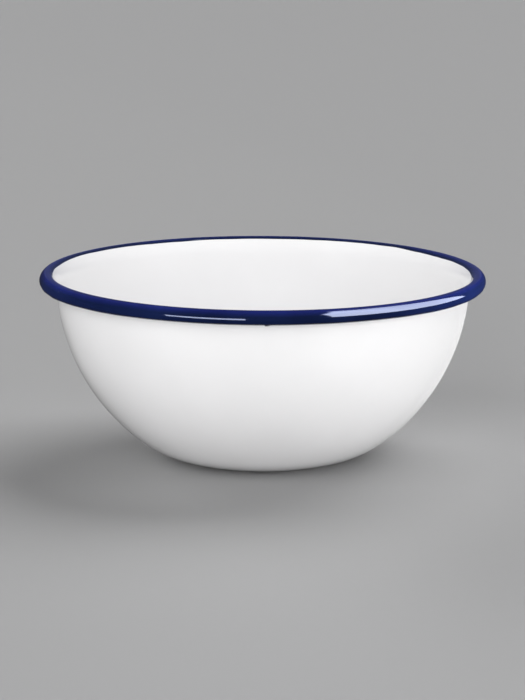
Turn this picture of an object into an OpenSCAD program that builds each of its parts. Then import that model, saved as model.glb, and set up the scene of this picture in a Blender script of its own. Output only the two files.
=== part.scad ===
// Round enamelled basin bowl: a pressed steel shell with a rolled rim, fired enamel coats on
// both faces and a coloured band of enamel over the roll. Millimetres, +Z up, standing on z = 0.

/* [Body] */
// Outside diameter of the body where it is widest
body_d = 144; // [125:1:180]
// Height from the table to the top of the rim
height = 65; // [55:0.5:80]
// Outside radius of the arc that rounds the body
body_arc_r = 72; // [60:1:90]
// Outside radius of the bend between the base and the body
base_bend_r = 30; // [20:1:36]
// Diameter of the flat that the bowl stands on
base_d = 50.4; // [36:0.2:60]

/* [Rolled rim] */
// Diameter of the rolled bead, over its enamel
bead_d = 4.8; // [3.6:0.1:7]
// How far the neck flares outwards before it rolls over
flare = 1.8; // [0.8:0.1:4]
// Inside radius of the neck that leads into the roll
neck_r = 8; // [6:0.5:14]
// Gap left between the edge of the rolled sheet and the enamel of the wall
curl_gap = 0.25; // [0.1:0.05:0.8]

/* [Sheet and coats] */
// Thickness of the steel sheet
steel_t = 0.6; // [0.4:0.05:0.9]
// Thickness of the dark ground coat on each face
ground_t = 0.1; // [0.06:0.01:0.16]
// Thickness of the coloured cover coat on each face
cover_t = 0.15; // [0.08:0.01:0.25]

/* [Hidden] */

// Facets of a full turn, and how far the chords of a section may stray from its arcs
$fn = 256;
arc_error = 0.008;

// Depths of the layers, measured from the inside surface of the bowl towards the outside
inside = 0;
inner_ground = inside + cover_t;
inner_steel = inner_ground + ground_t;
outer_steel = inner_steel + steel_t;
outer_ground = outer_steel + ground_t;
outside = outer_ground + cover_t;

// Centre of the base bend, then of the body arc that touches it
bead_r = bead_d / 2;
bend_c = [base_d / 2, base_bend_r];
body_x = body_d / 2 - body_arc_r;
body_c = [body_x, base_bend_r + leg(body_arc_r - base_bend_r, bend_c.x - body_x)];

// Centre of the bead, then of the neck arc that touches both the body and the bead
bead_c = [body_d / 2 - outside + flare + bead_r, height - bead_r];
body_to_neck = body_arc_r - outside + neck_r;
neck_to_bead = neck_r - bead_r;
neck_turn = corner_angle(norm(bead_c - body_c), body_to_neck, neck_to_bead);
neck_c = body_c + body_to_neck * heading(direction(body_c, bead_c) - neck_turn);

// Directions in which one arc hands over to the next
bend_end = direction(body_c, bend_c);
body_end = direction(body_c, neck_c);
neck_end = direction(neck_c, bead_c);

// Where the roll comes back down to the outside of the wall: each layer lands on the wall's enamel
wall_landing = bead_landing(inside);
ground_landing = bead_landing(inner_ground);
steel_landing = bead_landing(inner_steel);
steel_edge = steel_landing + curl_gap / (bead_r - inner_steel) * 180 / PI;
crevice = direction(neck_c, on_bead(inner_steel, steel_landing));

function heading(a) = [cos(a), sin(a)];
function direction(from, to) = atan2(to.y - from.y, to.x - from.x);
// Second short side of a right-angled triangle
function leg(long_side, short_side) = sqrt(long_side * long_side - short_side * short_side);
// Angle of a triangle between sides a and b, opposite side c
function corner_angle(a, b, c) = acos((a * a + b * b - c * c) / (2 * a * b));
function reversed(points) = [for (i = [len(points) - 1 : -1 : 0]) points[i]];

// Points along an arc after its first, on which the line before it ends
function arc(centre, r, from, to) =
    let (steps = ceil(abs(to - from) / (2 * acos(1 - arc_error / r))))
    [for (i = [1 : steps]) centre + r * heading(from + (to - from) * i / steps)];

// Direction from the bead's centre in which the layer at this depth meets the outside of the wall
function bead_landing(depth) =
    neck_end - 180 - corner_angle(neck_to_bead, bead_r - depth, neck_r - outside);
function on_bead(depth, a) = bead_c + (bead_r - depth) * heading(a);

// Line of one depth in the section: from the axis along the base and up the body to the crevice
function wall(depth) = concat(
    [[0, outside - depth], [bend_c.x, outside - depth]],
    arc(bend_c, base_bend_r - outside + depth, -90, bend_end),
    arc(body_c, body_arc_r - outside + depth, bend_end, body_end),
    arc(neck_c, neck_r - depth, 180 + body_end, crevice)
);
// The same line on from the crevice to the start of the roll, and then around the roll
function neck_top(depth) = arc(neck_c, neck_r - depth, crevice, neck_end);
function roll(depth, to) = arc(bead_c, bead_r - depth, neck_end, to);
// Last stretch of the roll, past the edge of the sheet
function tuck(depth, to) = arc(bead_c, bead_r - depth, steel_edge, to);

// Ring whose section lies between two lines of points
module between(first, second) {
    rotate_extrude() polygon(concat(first, reversed(second)));
}

// Pressed sheet: base, body, flared neck and hollow roll in one piece
module steel_bowl() {
    color("silver") between(
        concat(wall(inner_steel), neck_top(inner_steel), roll(inner_steel, steel_edge)),
        concat(wall(outer_steel), neck_top(outer_steel), roll(outer_steel, steel_edge))
    );
}

// Dark ground coat on the inside face, carried over the roll down to the wall
module ground_coat_inside() {
    color("#22252c") between(
        concat(
            wall(inner_ground),
            neck_top(inner_ground),
            roll(inner_ground, ground_landing)
        ),
        concat(
            wall(inner_steel),
            neck_top(inner_steel),
            roll(inner_steel, steel_edge),
            tuck(inner_steel, steel_landing)
        )
    );
}

// Dark ground coat on the outside face, up into the crevice under the roll
module ground_coat_outside() {
    color("#22252c") between(wall(outer_steel), wall(outer_ground));
}

// White cover coat of the inside, up to where the roll begins
module white_enamel_inside() {
    color("#f6f5f1") between(
        concat(wall(inside), neck_top(inside)),
        concat(wall(inner_ground), neck_top(inner_ground))
    );
}

// White cover coat of the outside, with the flat that the bowl stands on
module white_enamel_outside() {
    color("#f6f5f1") between(wall(outer_ground), wall(outside));
}

// Blue cover coat over the roll
module blue_rim_enamel() {
    color("#1f2a6b") between(
        concat([on_bead(inside, neck_end)], roll(inside, wall_landing)),
        concat([on_bead(inner_ground, neck_end)], roll(inner_ground, ground_landing))
    );
}

steel_bowl();
ground_coat_inside();
ground_coat_outside();
white_enamel_inside();
white_enamel_outside();
blue_rim_enamel();
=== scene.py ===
from math import acos, atan2, ceil, cos, degrees, exp, pi, radians, sin, sqrt

import bpy
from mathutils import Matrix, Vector, noise


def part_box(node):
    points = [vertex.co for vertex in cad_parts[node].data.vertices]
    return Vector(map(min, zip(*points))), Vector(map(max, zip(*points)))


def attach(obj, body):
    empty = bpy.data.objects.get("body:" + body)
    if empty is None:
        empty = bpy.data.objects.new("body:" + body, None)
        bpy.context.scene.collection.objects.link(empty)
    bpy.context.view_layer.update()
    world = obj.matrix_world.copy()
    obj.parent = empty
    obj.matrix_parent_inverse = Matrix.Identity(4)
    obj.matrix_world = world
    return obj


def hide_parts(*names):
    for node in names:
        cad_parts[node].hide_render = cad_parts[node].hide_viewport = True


# Enamel basin bowl: the three cover coats are modelled here, the steel and ground coats stay as built
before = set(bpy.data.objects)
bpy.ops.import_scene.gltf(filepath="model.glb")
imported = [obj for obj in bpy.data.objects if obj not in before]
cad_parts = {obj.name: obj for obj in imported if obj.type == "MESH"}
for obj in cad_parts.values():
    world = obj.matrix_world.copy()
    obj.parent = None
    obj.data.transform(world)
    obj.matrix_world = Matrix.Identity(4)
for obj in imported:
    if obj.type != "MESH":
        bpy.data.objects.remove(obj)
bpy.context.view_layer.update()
mm = 0.001
print("frame loaded:", ", ".join(sorted(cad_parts)))


# Section of the bowl, half of it, in the (radius, height) plane
bowl = {
    "bodyWidth": 144 * mm,      # outside, where the body is widest
    "bodyArc": 72 * mm,         # outside radius that rounds the body
    "baseBend": 30 * mm,        # outside radius between base and body
    "baseWidth": 50.4 * mm,     # flat that the bowl stands on
    "neckArc": 8 * mm,          # inside radius of the neck under the roll
    "wall": 1.1 * mm,           # sheet with all its coats
    "coat": 0.15 * mm,          # one cover coat
    "segments": 320,            # columns of a full turn
    "merge": 0.002 * mm,        # points closer than this become one
    "smooth": 60,               # edges that turn by less, in degrees, are shaded smooth
}


def heading(angle):
    return Vector((cos(radians(angle)), sin(radians(angle))))


def direction(start, end):
    return degrees(atan2(end.y - start.y, end.x - start.x))


def cornerAngle(a, b, c):  # angle between sides a and b of a triangle, opposite side c
    return degrees(acos((a * a + b * b - c * c) / (2 * a * b)))


# The roll is a circle in the section
rollLow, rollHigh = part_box("blue_rim_enamel")
beadR = (rollHigh.z - rollLow.z) / 2
beadC = Vector((rollHigh.x - beadR, rollHigh.z - beadR))

# The bend meets the flat base and the body's arc
bendC = Vector((bowl["baseWidth"] / 2, bowl["baseBend"]))
bodyX = bowl["bodyWidth"] / 2 - bowl["bodyArc"]
bodyRise = sqrt((bowl["bodyArc"] - bowl["baseBend"]) ** 2 - (bendC.x - bodyX) ** 2)
bodyC = Vector((bodyX, bowl["baseBend"] + bodyRise))

# The neck meets the body's arc and the roll
bodyToNeck = bowl["bodyArc"] - bowl["wall"] + bowl["neckArc"]
neckToBead = bowl["neckArc"] - beadR
neckTurn = cornerAngle((beadC - bodyC).length, bodyToNeck, neckToBead)
neckC = bodyC + bodyToNeck * heading(direction(bodyC, beadC) - neckTurn)

# Where the arcs end, and the crevice where the roll comes back to the neck
bendEnd = direction(bodyC, bendC)
bodyEnd = direction(bodyC, neckC)
neckEnd = direction(neckC, beadC)
landing = neckEnd - 180 - cornerAngle(neckToBead, beadR, bowl["neckArc"] - bowl["wall"])
crevice = beadC + beadR * heading(landing)
creviceTurn = direction(neckC, crevice)


def arc(centre, r, start, end, step):  # points after the first
    count = max(2, ceil(abs(radians(end - start)) * r / step))
    return [centre + r * heading(start + (end - start) * i / count) for i in range(1, count + 1)]


def wallLine(depth, step, top):  # from the axis along the base and up the wall, depth from the inside
    inset = bowl["wall"] - depth
    flat = bendC.x
    count = ceil(flat / step)
    line = [Vector((flat * i / count, inset)) for i in range(count + 1)]
    line += arc(bendC, bowl["baseBend"] - inset, -90, bendEnd, step)
    line += arc(bodyC, bowl["bodyArc"] - inset, bendEnd, bodyEnd, step)
    return line + arc(neckC, bowl["neckArc"] - depth, 180 + bodyEnd, top, step)


def walkSection(name, points):  # a plane merged to one vertex, which is walked round the section
    bpy.ops.object.select_all(action='DESELECT')
    bpy.ops.mesh.primitive_plane_add(size=mm, location=(0, 0, 0))
    piece = bpy.context.object
    piece.name = name
    piece.data.name = name
    bpy.ops.object.mode_set(mode='EDIT')
    bpy.ops.mesh.select_all(action='SELECT')
    bpy.ops.mesh.merge(type='CENTER')
    bpy.ops.transform.translate(value=(points[0].x, 0, points[0].y))
    for here, there in zip(points, points[1:]):
        step = there - here
        bpy.ops.mesh.extrude_vertices_move(TRANSFORM_OT_translate={"value": (step.x, 0, step.y)})
    bpy.ops.object.mode_set(mode='OBJECT')
    return piece


def spinSection(piece, segments):  # a full turn about the bowl's axis, closed at the seam and the pole
    bpy.ops.object.modifier_add(type='SCREW')
    turn = piece.modifiers[-1]
    turn.axis = 'Z'
    turn.angle = 2 * pi
    turn.steps = segments
    turn.render_steps = segments
    turn.use_merge_vertices = True
    turn.merge_threshold = bowl["merge"]
    bpy.ops.object.modifier_apply(modifier=turn.name)
    bpy.ops.object.mode_set(mode='EDIT')
    bpy.ops.mesh.select_all(action='SELECT')
    bpy.ops.mesh.remove_doubles(threshold=bowl["merge"])
    bpy.ops.mesh.normals_make_consistent(inside=False)
    bpy.ops.object.mode_set(mode='OBJECT')
    bpy.ops.object.shade_smooth_by_angle(angle=radians(bowl["smooth"]))


def rippleFace(piece, name, size, strength, keep):  # a faint wave in the fired glass, where keep says
    group = piece.vertex_groups.new(name=name)
    for v in piece.data.vertices:
        group.add([v.index], keep(v), 'REPLACE')
    wave = bpy.data.textures.new(name, 'CLOUDS')
    wave.noise_scale = size
    wave.noise_depth = 1
    bpy.ops.object.modifier_add(type='DISPLACE')
    ripple = piece.modifiers[-1]
    ripple.name = name
    ripple.texture = wave
    ripple.texture_coords = 'LOCAL'
    ripple.strength = strength
    ripple.mid_level = 0.5
    ripple.vertex_group = name
    bpy.ops.object.modifier_apply(modifier=name)
    piece.vertex_groups.clear()


def smoothStep(low, high, x):
    t = min(1, max(0, (x - low) / (high - low)))
    return t * t * (3 - 2 * t)


def belowNeck(z, fade):  # 1 on the body, falling to 0 at the height of the neck's centre
    return 1 - smoothStep(neckC.y - fade, neckC.y, z)


# White coat of the inside, which runs on under the edge of the blue
insideCoat = {
    "step": 1.2 * mm,           # between points of the section
    "hiddenStep": 2.5 * mm,     # the same on the face that lies on the ground coat
    "tuckEnd": 104,             # where on the roll it ends, under the blue, in degrees
    "tuckSink": 0.07 * mm,      # how far it lies under the blue there
    "tuckStep": 0.3 * mm,       # between points there
    "rippleSize": 17 * mm,      # how broad the faint wave is
    "ripple": 0.09 * mm,        # and how high at most, from trough to crest
    "rippleFade": 3 * mm,       # it dies out over this height, up to the centre of the neck's arc
}


def makeInsideCoat():
    c = insideCoat
    face = wallLine(0, c["step"], neckEnd)
    tucked = arc(beadC, beadR, neckEnd, c["tuckEnd"], c["tuckStep"])
    sinkStep = c["tuckSink"] / len(tucked)
    sunk = [p - (p - beadC).normalized() * sinkStep * (i + 1) for i, p in enumerate(tucked)]
    back = wallLine(bowl["coat"], c["hiddenStep"], neckEnd)
    back += arc(beadC, beadR - bowl["coat"], neckEnd, c["tuckEnd"], c["tuckStep"])
    piece = walkSection("white_glaze_inside", face + sunk + back[::-1])
    spinSection(piece, bowl["segments"])
    facing = [v.normal.copy() for v in piece.data.vertices]

    def keep(v):
        aboveBack = v.co.z > bowl["wall"] - bowl["coat"] / 2
        toAxis = Vector((-v.co.x, -v.co.y, bodyC.y - v.co.z))
        faces = facing[v.index].dot(toAxis) > 0
        return belowNeck(v.co.z, c["rippleFade"]) if faces and aboveBack else 0

    rippleFace(piece, "insideRipple", c["rippleSize"], c["ripple"], keep)
    return piece


# White coat of the outside and the underside
outsideCoat = {
    "step": 1.2 * mm,           # between points of the section
    "hiddenStep": 2.5 * mm,     # the same on the face that lies on the ground coat
    "rippleSize": 19 * mm,      # how broad the faint wave is
    "ripple": 0.09 * mm,        # and how high at most, from trough to crest
    "rippleFade": 3 * mm,       # it dies out over this height, up to the centre of the neck's arc
    "rippleStart": 3 * mm,      # and has grown to its full height this far above the table
}


def makeOutsideCoat():
    c = outsideCoat
    face = wallLine(bowl["wall"], c["step"], creviceTurn)
    back = wallLine(bowl["wall"] - bowl["coat"], c["hiddenStep"], creviceTurn)
    piece = walkSection("white_glaze_outside", face + back[::-1])
    spinSection(piece, bowl["segments"])
    facing = [v.normal.copy() for v in piece.data.vertices]

    def keep(v):
        fromAxis = Vector((v.co.x, v.co.y, v.co.z - bodyC.y))
        faces = facing[v.index].dot(fromAxis) > 0
        share = smoothStep(0, c["rippleStart"], v.co.z) * belowNeck(v.co.z, c["rippleFade"])
        return share if faces else 0

    rippleFace(piece, "outsideRipple", c["rippleSize"], c["ripple"], keep)
    return piece


# Blue coat over the roll: laid by hand, so both of its edges wander and it sags a little underneath.
# Angles on the roll are in degrees from the outward side, and a cut picks one of the noise's layers
rimCoat = {
    "segments": 480,            # columns of a full turn
    "facePoints": 56,           # steps across its face
    "backPoints": 14,           # and across its back
    "under": 0.09 * mm,         # how deep its back lies
    "edgeDepth": 0.2,           # its back would run out this many lips past the edge
    "proud": 0.06 * mm,         # the lip stands this far above the white
    "lip": 0.45 * mm,           # width of the rounded lip
    "lipSink": 0.3,             # its foot lies under the white by this share of proud
    "settle": 0.7,              # away from the lip it is lower by this share of proud
    "settleWide": 5,            # and fully so from this many lips inwards
    "pool": 0.7 * mm,           # how far the pooled enamel fills the crevice, along either side
    "skirt": 0.5 * mm,          # how far it runs down the wall below that
    "waveCut": 0,
    "waveScale": 6,
    "innerWave": 0.16 * mm,     # slow wander of the inner edge
    "outerWave": 0.25 * mm,     # and of the outer one
    "flutterCut": 3,
    "flutterScale": 17,
    "innerFlutter": 0.06 * mm,  # quick wander of the inner edge
    "outerFlutter": -0.12 * mm,  # and of the outer one, the other way
    "sagAt": -45,               # where on the roll the sag is thickest
    "sagWide": 60,
    "swellCut": 7,
    "swellScale": 9,
    "swell": 0.25,              # how uneven the sag is
    "dripTurn": -89.5,          # where the one drip begins, from +X
    "dripLow": -82,             # where it hangs on the roll
    "dripWide": 16,
    "drip": 0.29 * mm,          # how far it stands out
    "dripStart": 0.16 * mm,     # it begins steeply
    "dripHold": 2.3 * mm / 3,   # keeps its height for this long
    "dripEnd": 2.3 * mm,        # and runs out slowly
    "gather": 0.88,             # columns are drawn together at the drip by this share
    "gatherWide": 7,            # over so many degrees
}
# Sag: how much thicker it hangs on the outer and lower side of the roll, mm at a few turns from +X
rimSag = {
    0: 0.12, 60: 0.03, 120: 0.03, 165: 0.25, 195: 0.52,
    222: 0.36, 250: 0.08, 290: 0.06, 325: 0.3, 345: 0.26,
}
# Inner edge: how far below the crest of the roll the blue ends, mm at a few turns from +X
innerEdge = {
    0: 2.95, 18: 2.5, 32: 2.62, 52: 1.95, 90: 2.05, 125: 2.1,
    155: 1.8, 176: 2.2, 230: 1.8, 270: 1.75, 320: 2.2, 350: 3.1,
}


def aroundTurn(stations, turn):  # smooth value between the stations of a full turn, the first at 0
    marks = sorted(stations) + [360]
    turn = turn % 360
    low, high = next(pair for pair in zip(marks, marks[1:]) if turn <= pair[1])
    t = smoothStep(low, high, turn)
    return stations[low] * (1 - t) + stations[high % 360] * t


def roundNoise(turn, cut, scale):  # noise that comes back to its start after a full turn
    return noise.noise(Vector((*heading(turn), cut)) * scale)


def bell(angle, middle, wide):
    return exp(-((angle - middle) / wide) ** 2)


crestArc = radians(neckEnd - 90) * beadR            # from the start of the roll to its crest
rollArc = radians(neckEnd - landing) * beadR        # from the start of the roll over it to the crevice


def rimSurface(u):  # point and outward normal of the bare rim, u along it from the start of the roll
    if u < 0:
        out = heading(neckEnd - degrees(u / bowl["neckArc"]))
        return neckC + out * bowl["neckArc"], out
    if u <= rollArc:
        out = heading(neckEnd - degrees(u / beadR))
        return beadC + out * beadR, out
    r = bowl["neckArc"] - bowl["wall"]
    out = heading(creviceTurn + degrees((u - rollArc) / r))
    return neckC + out * r, -out


def rimPooled(u):  # the same with the crevice filled by a small round of enamel
    start = rollArc - rimCoat["pool"]
    end = rollArc + rimCoat["pool"]
    if not start < u < end:
        return rimSurface(u)
    a, outA = rimSurface(start)
    b, outB = rimSurface(end)
    alongA = Vector((outA.y, -outA.x))
    alongB = Vector((outB.y, -outB.x))
    cross = alongA.x * alongB.y - alongA.y * alongB.x
    reach = ((b.x - a.x) * alongB.y - (b.y - a.y) * alongB.x) / cross
    corner = a + alongA * reach
    t = (u - start) / (end - start)
    along = (corner - a) * (1 - t) + (b - corner) * t
    point = a * (1 - t) ** 2 + corner * 2 * t * (1 - t) + b * t * t
    return point, Vector((-along.y, along.x)).normalized()


def fromDrip(turn):  # degrees from the start of the drip
    return (turn - rimCoat["dripTurn"] + 180) % 360 - 180


def rimPlace(share, back, turn):  # where one point of the blue coat lies in the section at this turn
    c = rimCoat
    wave = roundNoise(turn, c["waveCut"], c["waveScale"])
    flutter = roundNoise(turn, c["flutterCut"], c["flutterScale"])
    first = crestArc - aroundTurn(innerEdge, turn) * mm
    first += c["innerWave"] * wave + c["innerFlutter"] * flutter
    last = rollArc + c["pool"] + c["skirt"]
    last += c["outerWave"] * wave + c["outerFlutter"] * flutter
    u = first + (last - first) * share
    point, out = rimPooled(u)
    edge = max(0, min(u - first, last - u))
    if back:
        return point - out * c["under"] * smoothStep(-c["edgeDepth"], 1, edge / c["lip"])
    t = min(1, edge / c["lip"])
    rise = c["proud"] * (sqrt(1 - (1 - t) ** 2) * (1 + c["lipSink"]) - c["lipSink"])
    rise *= 1 - c["settle"] * smoothStep(c["lip"], c["settleWide"] * c["lip"], edge)
    low = neckEnd - degrees(u / beadR)
    swell = 1 + c["swell"] * roundNoise(turn, c["swellCut"], c["swellScale"])
    rise += aroundTurn(rimSag, turn) * mm * bell(low, c["sagAt"], c["sagWide"]) * swell
    along = radians(fromDrip(turn)) * beadC.x
    drip = smoothStep(-c["dripStart"], c["dripStart"], along)
    drip *= 1 - smoothStep(c["dripHold"], c["dripEnd"], along)
    rise += c["drip"] * drip * bell(low, c["dripLow"], c["dripWide"])
    return point + out * rise


def makeRimCoat():
    c = rimCoat
    faceShares = [0.5 - 0.5 * cos(pi * i / c["facePoints"]) for i in range(c["facePoints"] + 1)]
    backShares = [1 - i / c["backPoints"] for i in range(1, c["backPoints"])]
    shares = [(s, 0) for s in faceShares] + [(s, 1) for s in backShares]
    points = [rimPlace(s, b, 0) for s, b in shares]
    piece = walkSection("blue_glaze_rim", points + points[:1])
    share = piece.data.attributes.new("share", 'FLOAT', 'POINT')
    back = piece.data.attributes.new("back", 'FLOAT', 'POINT')
    for i, (s, b) in enumerate(shares + shares[:1]):
        share.data[i].value = s
        back.data[i].value = b
    spinSection(piece, c["segments"])
    share = piece.data.attributes["share"]
    back = piece.data.attributes["back"]
    for v in piece.data.vertices:
        turn = degrees(atan2(v.co.y, v.co.x))
        turn -= fromDrip(turn) * c["gather"] * bell(fromDrip(turn), 0, c["gatherWide"])
        place = rimPlace(share.data[v.index].value, back.data[v.index].value > 0.5, turn)
        v.co = (place.x * cos(radians(turn)), place.x * sin(radians(turn)), place.y)
    piece.data.update()
    return piece


# Materials: tone, grain and pits are the noises of colour, roughness and bump, as (scale, detail)
noiseSpan = (0.3, 0.7)  # where most of a noise's values lie


def newMaterial(name):
    m = bpy.data.materials.new(name)
    m.use_nodes = True
    return m, m.node_tree.nodes["Principled BSDF"]


def addNoise(tree, scale, detail):
    place = tree.nodes.new("ShaderNodeTexCoord")
    grain = tree.nodes.new("ShaderNodeTexNoise")
    grain.inputs["Scale"].default_value = scale
    grain.inputs["Detail"].default_value = detail
    tree.links.new(place.outputs["Object"], grain.inputs["Vector"])
    return grain.outputs["Fac"]


def addRamp(tree, source, stops):
    ramp = tree.nodes.new("ShaderNodeValToRGB")
    for i, (at, colour) in enumerate(stops):
        stop = ramp.color_ramp.elements[i] if i < 2 else ramp.color_ramp.elements.new(at)
        stop.position = at
        stop.color = (*colour, 1)
    tree.links.new(source, ramp.inputs["Fac"])
    return ramp.outputs["Color"]


def addTones(tree, tone, colours):  # from the darker colour to the lighter one
    return addRamp(tree, tone, zip(noiseSpan, colours))


def addRange(tree, source, ends, span=noiseSpan):
    spread = tree.nodes.new("ShaderNodeMapRange")
    for name, value in zip(("From Min", "From Max", "To Min", "To Max"), (*span, *ends)):
        spread.inputs[name].default_value = value
    tree.links.new(source, spread.inputs["Value"])
    return spread.outputs["Result"]


def addSurface(tree, shader, finish):  # what all finishes have apart from their colour
    grain = addNoise(tree, *finish["grain"])
    tree.links.new(addRange(tree, grain, finish["rough"]), shader.inputs["Roughness"])
    bump = tree.nodes.new("ShaderNodeBump")
    bump.inputs["Strength"].default_value = finish["bump"]
    bump.inputs["Distance"].default_value = finish["bumpDepth"]
    tree.links.new(addNoise(tree, *finish["pits"]), bump.inputs["Height"])
    tree.links.new(bump.outputs["Normal"], shader.inputs["Normal"])
    shader.inputs["IOR"].default_value = finish["ior"]
    shader.inputs["Specular IOR Level"].default_value = finish["gloss"]
    shader.inputs["Metallic"].default_value = finish["metal"]


def makeFinish(name, finish):  # one colour all over, with its tones
    m, shader = newMaterial(name)
    tree = m.node_tree
    tone = addNoise(tree, *finish["tone"])
    tree.links.new(addTones(tree, tone, finish["colours"]), shader.inputs["Base Color"])
    addSurface(tree, shader, finish)
    return m


whiteFinish = {
    "tone": (38, 2),
    "colours": ((0.813, 0.809, 0.813), (0.837, 0.833, 0.838)),
    "grain": (60, 3),
    "rough": (0.12, 0.2),
    "pits": (420, 2),
    "bump": 0.12,
    "bumpDepth": 0.02 * mm,
    "ior": 1.5,
    "gloss": 0.32,
    "metal": 0,
}
blueFinish = {
    "tone": (70, 3),
    # crest and side colours: the enamel's thickness, plus painted light on the crest and painted shade on
    # the sides, as light falls from above
    "thinAndLit": ((0.0085, 0.0135, 0.098), (0.012, 0.0195, 0.132)),
    "deepAndShaded": ((0.0042, 0.0086, 0.036), (0.0062, 0.0122, 0.051)),
    "depth": {0.05: 1, 0.13: 0, 0.24: 0, 0.36: 1},  # 0 is the lighter crest colour, 1 the darker side colour, by the share of the way across
    "grain": (120, 2),
    "rough": (0.04, 0.08),
    "pits": (300, 2),
    "bump": 0.1,
    "bumpDepth": 0.02 * mm,
    "ior": 1.5,
    "gloss": 0.34,
    "metal": 0,
}
groundFinish = {
    "tone": (500, 3),
    "colours": ((0.010, 0.012, 0.018), (0.022, 0.025, 0.034)),
    "grain": (200, 2),
    "rough": (0.18, 0.3),
    "pits": (700, 2),
    "bump": 0.2,
    "bumpDepth": 0.02 * mm,
    "ior": 1.5,
    "gloss": 0.5,
    "metal": 0,
}
steelFinish = {
    "tone": (90, 4),
    "colours": ((0.48, 0.48, 0.49), (0.60, 0.60, 0.60)),
    "grain": (350, 3),
    "rough": (0.28, 0.42),
    "pits": (900, 2),
    "bump": 0.15,
    "bumpDepth": 0.01 * mm,
    "ior": 1.5,
    "gloss": 0.5,
    "metal": 1,
}


def makeBlueEnamel():  # lighter on the crest of the roll, darker on both sides of it: partly thinner and deeper enamel, partly painted light on the crest and painted shade on the sides
    m, shader = newMaterial("blue_enamel")
    tree = m.node_tree
    tone = addNoise(tree, *blueFinish["tone"])
    # painted light on the crest and painted shade on the sides, besides the real change of enamel
    # thickness
    thinAndLit = addTones(tree, tone, blueFinish["thinAndLit"])
    deepAndShaded = addTones(tree, tone, blueFinish["deepAndShaded"])
    across = tree.nodes.new("ShaderNodeAttribute")
    across.attribute_name = "share"
    stops = [(at, (depth, depth, depth)) for at, depth in blueFinish["depth"].items()]
    blend = tree.nodes.new("ShaderNodeMix")
    blend.data_type = 'RGBA'
    tree.links.new(addRamp(tree, across.outputs["Fac"], stops), blend.inputs["Factor"])
    tree.links.new(thinAndLit, blend.inputs["A"])
    tree.links.new(deepAndShaded, blend.inputs["B"])
    tree.links.new(blend.outputs["Result"], shader.inputs["Base Color"])
    addSurface(tree, shader, blueFinish)
    return m


def dress(piece, material):
    piece.data.materials.clear()
    piece.data.materials.append(material)


whiteEnamel = makeFinish("white_enamel", whiteFinish)
blueEnamel = makeBlueEnamel()
groundEnamel = makeFinish("ground_enamel", groundFinish)
pressedSteel = makeFinish("pressed_steel", steelFinish)
dress(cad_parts["steel_bowl"], pressedSteel)
dress(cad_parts["ground_coat_inside"], groundEnamel)
dress(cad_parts["ground_coat_outside"], groundEnamel)
print("materials made, steel and ground coats dressed")

for make, node, slot, material in (
    (makeInsideCoat, "white_enamel_inside", "white_enamel", whiteEnamel),
    (makeOutsideCoat, "white_enamel_outside", "white_enamel", whiteEnamel),
    (makeRimCoat, "blue_rim_enamel", "blue_enamel", blueEnamel),
):
    coat = make()
    dress(coat, material)
    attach(coat, "root")
    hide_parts(node)
    print("coat made:", coat.name, len(coat.data.polygons), "faces")


# Floor, backdrop and sky, in metres
studio = {
    "floorR": 6.0,
    "backdropH": 4.0,
    "segments": 96,
    "floorColour": (0.34, 0.34, 0.343),
    "floorRough": 0.6,
    "sky": (0.03, 0.03, 0.031),
}


def showOnly(piece, ray):  # what one kind of ray alone sees
    piece.visible_camera = ray == "camera"
    piece.visible_glossy = ray == "gloss"
    piece.visible_diffuse = False
    piece.visible_transmission = False
    piece.visible_shadow = False


def addTube(name, segments, r, height, low):  # an open cylinder about the bowl's axis
    bpy.ops.object.select_all(action='DESELECT')
    bpy.ops.mesh.primitive_cylinder_add(vertices=segments, radius=r, depth=height,
                                        end_fill_type='NOTHING', location=(0, 0, low + height / 2))
    tube = bpy.context.object
    tube.name = name
    return tube


def makeFloor():
    s = studio
    bpy.ops.object.select_all(action='DESELECT')
    bpy.ops.mesh.primitive_circle_add(vertices=s["segments"], radius=s["floorR"], fill_type='NGON')
    floor = bpy.context.object
    floor.name = "floor"
    m, shader = newMaterial("floor")
    shader.inputs["Base Color"].default_value = (*s["floorColour"], 1)
    shader.inputs["Roughness"].default_value = s["floorRough"]
    dress(floor, m)
    floor.visible_glossy = False
    backdrop = addTube("backdrop", s["segments"], s["floorR"], s["backdropH"], 0)
    dress(backdrop, m)
    showOnly(backdrop, "camera")


# A dim ring that stands on the crest of the roll and that only gloss sees, from its inside alone:
# the panels then show on the outer face of the roll, and the rest of it stays blue from any view
flag = {
    "out": 1.0 * mm,            # outside the middle of the roll
    "below": 0.4 * mm,          # how far it starts below the crest
    "height": 200 * mm,
    "segments": 128,
    "glow": 0.19,
    "colour": (0.5, 0.56, 1.0),
}


def makeFlag():
    low = beadC.y + beadR - flag["below"]
    ring = addTube("flag", flag["segments"], beadC.x + flag["out"], flag["height"], low)
    m, shader = newMaterial("flag")
    shader.inputs["Base Color"].default_value = (0, 0, 0, 1)
    shader.inputs["Specular IOR Level"].default_value = 0
    shader.inputs["Emission Color"].default_value = (*flag["colour"], 1)
    shader.inputs["Emission Strength"].default_value = flag["glow"]
    m.cycles.emission_sampling = 'NONE'
    tree = m.node_tree
    clear = tree.nodes.new("ShaderNodeBsdfTransparent")
    side = tree.nodes.new("ShaderNodeNewGeometry")
    pick = tree.nodes.new("ShaderNodeMixShader")
    tree.links.new(side.outputs["Backfacing"], pick.inputs["Fac"])
    tree.links.new(clear.outputs["BSDF"], pick.inputs[1])
    tree.links.new(shader.outputs["BSDF"], pick.inputs[2])
    tree.links.new(pick.outputs["Shader"], tree.nodes["Material Output"].inputs["Surface"])
    dress(ring, m)
    showOnly(ring, "gloss")


def makeSky():
    world = bpy.data.worlds.new("sky")
    bpy.context.scene.world = world
    world.use_nodes = True
    world.node_tree.nodes["Background"].inputs["Color"].default_value = (*studio["sky"], 1)


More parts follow.
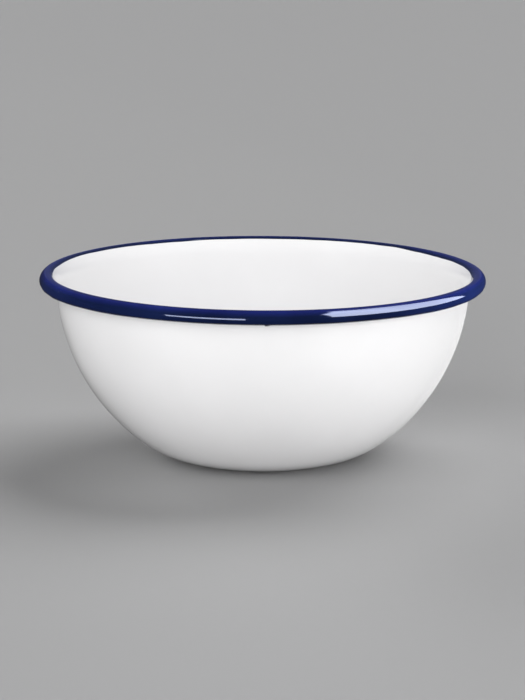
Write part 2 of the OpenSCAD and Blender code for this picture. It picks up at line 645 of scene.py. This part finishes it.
def groupPieces():  # what a lamp may be kept to
    inside = bpy.data.objects["white_glaze_inside"]
    wall = bpy.data.objects["white_glaze_outside"]
    rim = bpy.data.objects["blue_glaze_rim"]
    rest = [piece for piece in bpy.context.scene.objects if piece.type == 'MESH' and piece != inside]
    for name, pieces in {"inside": [inside], "wall": [wall], "rim": [rim], "outside": rest}.items():
        group = bpy.data.collections.new(name)
        for piece in pieces:
            group.objects.link(piece)


def keepTo(lamp, name):
    if name:
        lamp.light_linking.receiver_collection = bpy.data.collections[name]


def aimed(turn, rise, away, height):  # place and rotation that look at the bowl's axis at this height
    a, e = radians(turn), radians(rise)
    back = Vector((sin(a) * cos(e), -cos(a) * cos(e), sin(e)))
    return Vector((0, 0, height)) + back * away, (-back).to_track_quat('-Z', 'Y').to_euler()


# Broad matt light: turn is from the camera's side towards +X, disc is how wide the source looks,
# both in degrees, and only keeps a lamp to the inside of the bowl or to all but that
sunAway = 2.0  # metres
suns = {
    "front": {"turn": -15, "rise": 7, "disc": 28, "level": 2.25, "only": "outside"},
    "frontHigh": {"turn": -15, "rise": 30, "disc": 45, "level": 0.6, "only": "outside"},
    "frontLeft": {"turn": -55, "rise": 30, "disc": 40, "level": 0.75, "only": "outside"},
    "frontRight": {"turn": 50, "rise": 4, "disc": 24, "level": 0.75, "only": "outside"},
    "right": {"turn": 90, "rise": 4, "disc": 24, "level": 2.6, "only": "outside"},
    "backRight": {"turn": 140, "rise": 50, "disc": 50, "level": 2.7, "only": "outside"},
    "backLeft": {"turn": -140, "rise": 12, "disc": 30, "level": 1.8, "only": "outside"},
    "inFront": {"turn": 0, "rise": 14, "disc": 30, "level": 0.82, "only": "inside"},
    "inTop": {"turn": 0, "rise": 90, "disc": 175, "level": 3.2, "only": "inside"},
}


def makeSun(name, sun):
    place, turned = aimed(sun["turn"], sun["rise"], sunAway, 0)
    bpy.ops.object.light_add(type='SUN', location=place, rotation=turned)
    lamp = bpy.context.object
    lamp.name = name
    lamp.data.angle = radians(sun["disc"])
    lamp.data.energy = sun["level"]
    lamp.visible_glossy = False
    keepTo(lamp, sun["only"])


# Panels: places and sizes in metres, glow is their brightness. Matt ones show in no gloss and the rest
# in gloss alone, only keeps one to a coat, and fade is (share of the width, share of the glow at its end)
panelColour = (0.64, 0.72, 1.0)
cardColour = (1.0, 1.0, 1.0)
tallFaces = (-0.946, -0.324, 0)
tallSize = (0.994, 0.802)
panels = {
    "rimPanel": {"at": (0.4, -0.393, 0.473), "faces": tallFaces, "size": tallSize,
                 "glow": 24.5, "colour": panelColour, "only": "rim", "matt": False,
                 "fade": (0.25, 0.45)},
    "rimCard": {"at": (-0.088, -0.18, 0.03), "faces": (0.076, 0.997, 0), "size": (0.132, 0.044),
                "glow": 19.5, "colour": panelColour, "only": "rim", "matt": False},
    "panel": {"at": (0.413, -0.389, 0.473), "faces": tallFaces, "size": tallSize,
              "glow": 1.0, "colour": cardColour, "only": "", "matt": False},
    "topPanel": {"at": (-0.15, 0.3, 1.2), "faces": (0, 0, -1), "size": (0.5, 0.36),
                 "glow": 4.5, "colour": cardColour, "only": "inside", "matt": False},
    "floorCard": {"at": (0.265, 0.185, 0.004), "faces": (0, 0, 1), "size": (0.47, 0.63),
                  "glow": 0.8, "colour": cardColour, "only": "wall", "matt": False,
                  "fade": (0.105, 0)},
    "rimSide": {"at": (0.27, 0.08, 0.045), "faces": (-1, 0, 0), "size": (0.1, 0.03),
                "glow": 280, "colour": panelColour, "only": "rim", "matt": True},
    "rimLeft": {"at": (-0.27, -0.06, 0.045), "faces": (1, 0, 0), "size": (0.1, 0.03),
                "glow": 30, "colour": panelColour, "only": "rim", "matt": True},
}


def fadeEdge(lamp, share, least):  # a panel's light falls to its least over this share of the width
    lamp.use_nodes = True
    tree = lamp.node_tree
    place = tree.nodes.new("ShaderNodeNewGeometry")
    across = tree.nodes.new("ShaderNodeSeparateXYZ")
    tree.links.new(place.outputs["Parametric"], across.inputs["Vector"])
    strength = addRange(tree, across.outputs["X"], (1, least), (1 - share, 1))
    tree.links.new(strength, tree.nodes["Emission"].inputs["Strength"])


def makePanel(name, panel):
    turned = Vector(panel["faces"]).to_track_quat('-Z', 'Y').to_euler()
    bpy.ops.object.light_add(type='AREA', location=panel["at"], rotation=turned)
    lamp = bpy.context.object
    lamp.name = name
    width, height = panel["size"]
    lamp.data.shape = 'RECTANGLE'
    lamp.data.size = width
    lamp.data.size_y = height
    lamp.data.energy = panel["glow"] * pi * width * height
    lamp.data.color = panel["colour"]
    lamp.visible_camera = False
    lamp.visible_diffuse = panel["matt"]
    lamp.visible_glossy = not panel["matt"]
    keepTo(lamp, panel["only"])
    if "fade" in panel:
        fadeEdge(lamp.data, *panel["fade"])


# Camera: turns in degrees
view = {
    "away": 950 * mm,
    "rise": 11.6,
    "lookAt": 36.63 * mm,       # height on the bowl's axis
    "roll": 0.26,               # the photograph leans by this much
    "sensor": 36.0,             # over the long side of the frame
    "focusPixels": 2706.6,      # focal length
    "framePixels": 700,         # long side of the frame
    "clipEnd": 50.0,            # in metres, past the backdrop
}


def makeCamera():
    place, turned = aimed(0, view["rise"], view["away"], view["lookAt"])
    turned.rotate_axis('Z', radians(view["roll"]))
    bpy.ops.object.camera_add(location=place, rotation=turned)
    camera = bpy.context.object
    camera.data.sensor_width = view["sensor"]
    camera.data.lens = view["focusPixels"] * view["sensor"] / view["framePixels"]
    camera.data.clip_end = view["clipEnd"]
    bpy.context.scene.camera = camera


makeFloor()
makeFlag()
makeSky()
groupPieces()
for name in suns:
    makeSun(name, suns[name])
for name in panels:
    makePanel(name, panels[name])
makeCamera()
bpy.context.scene.view_settings.view_transform = 'Standard'
print("studio set")
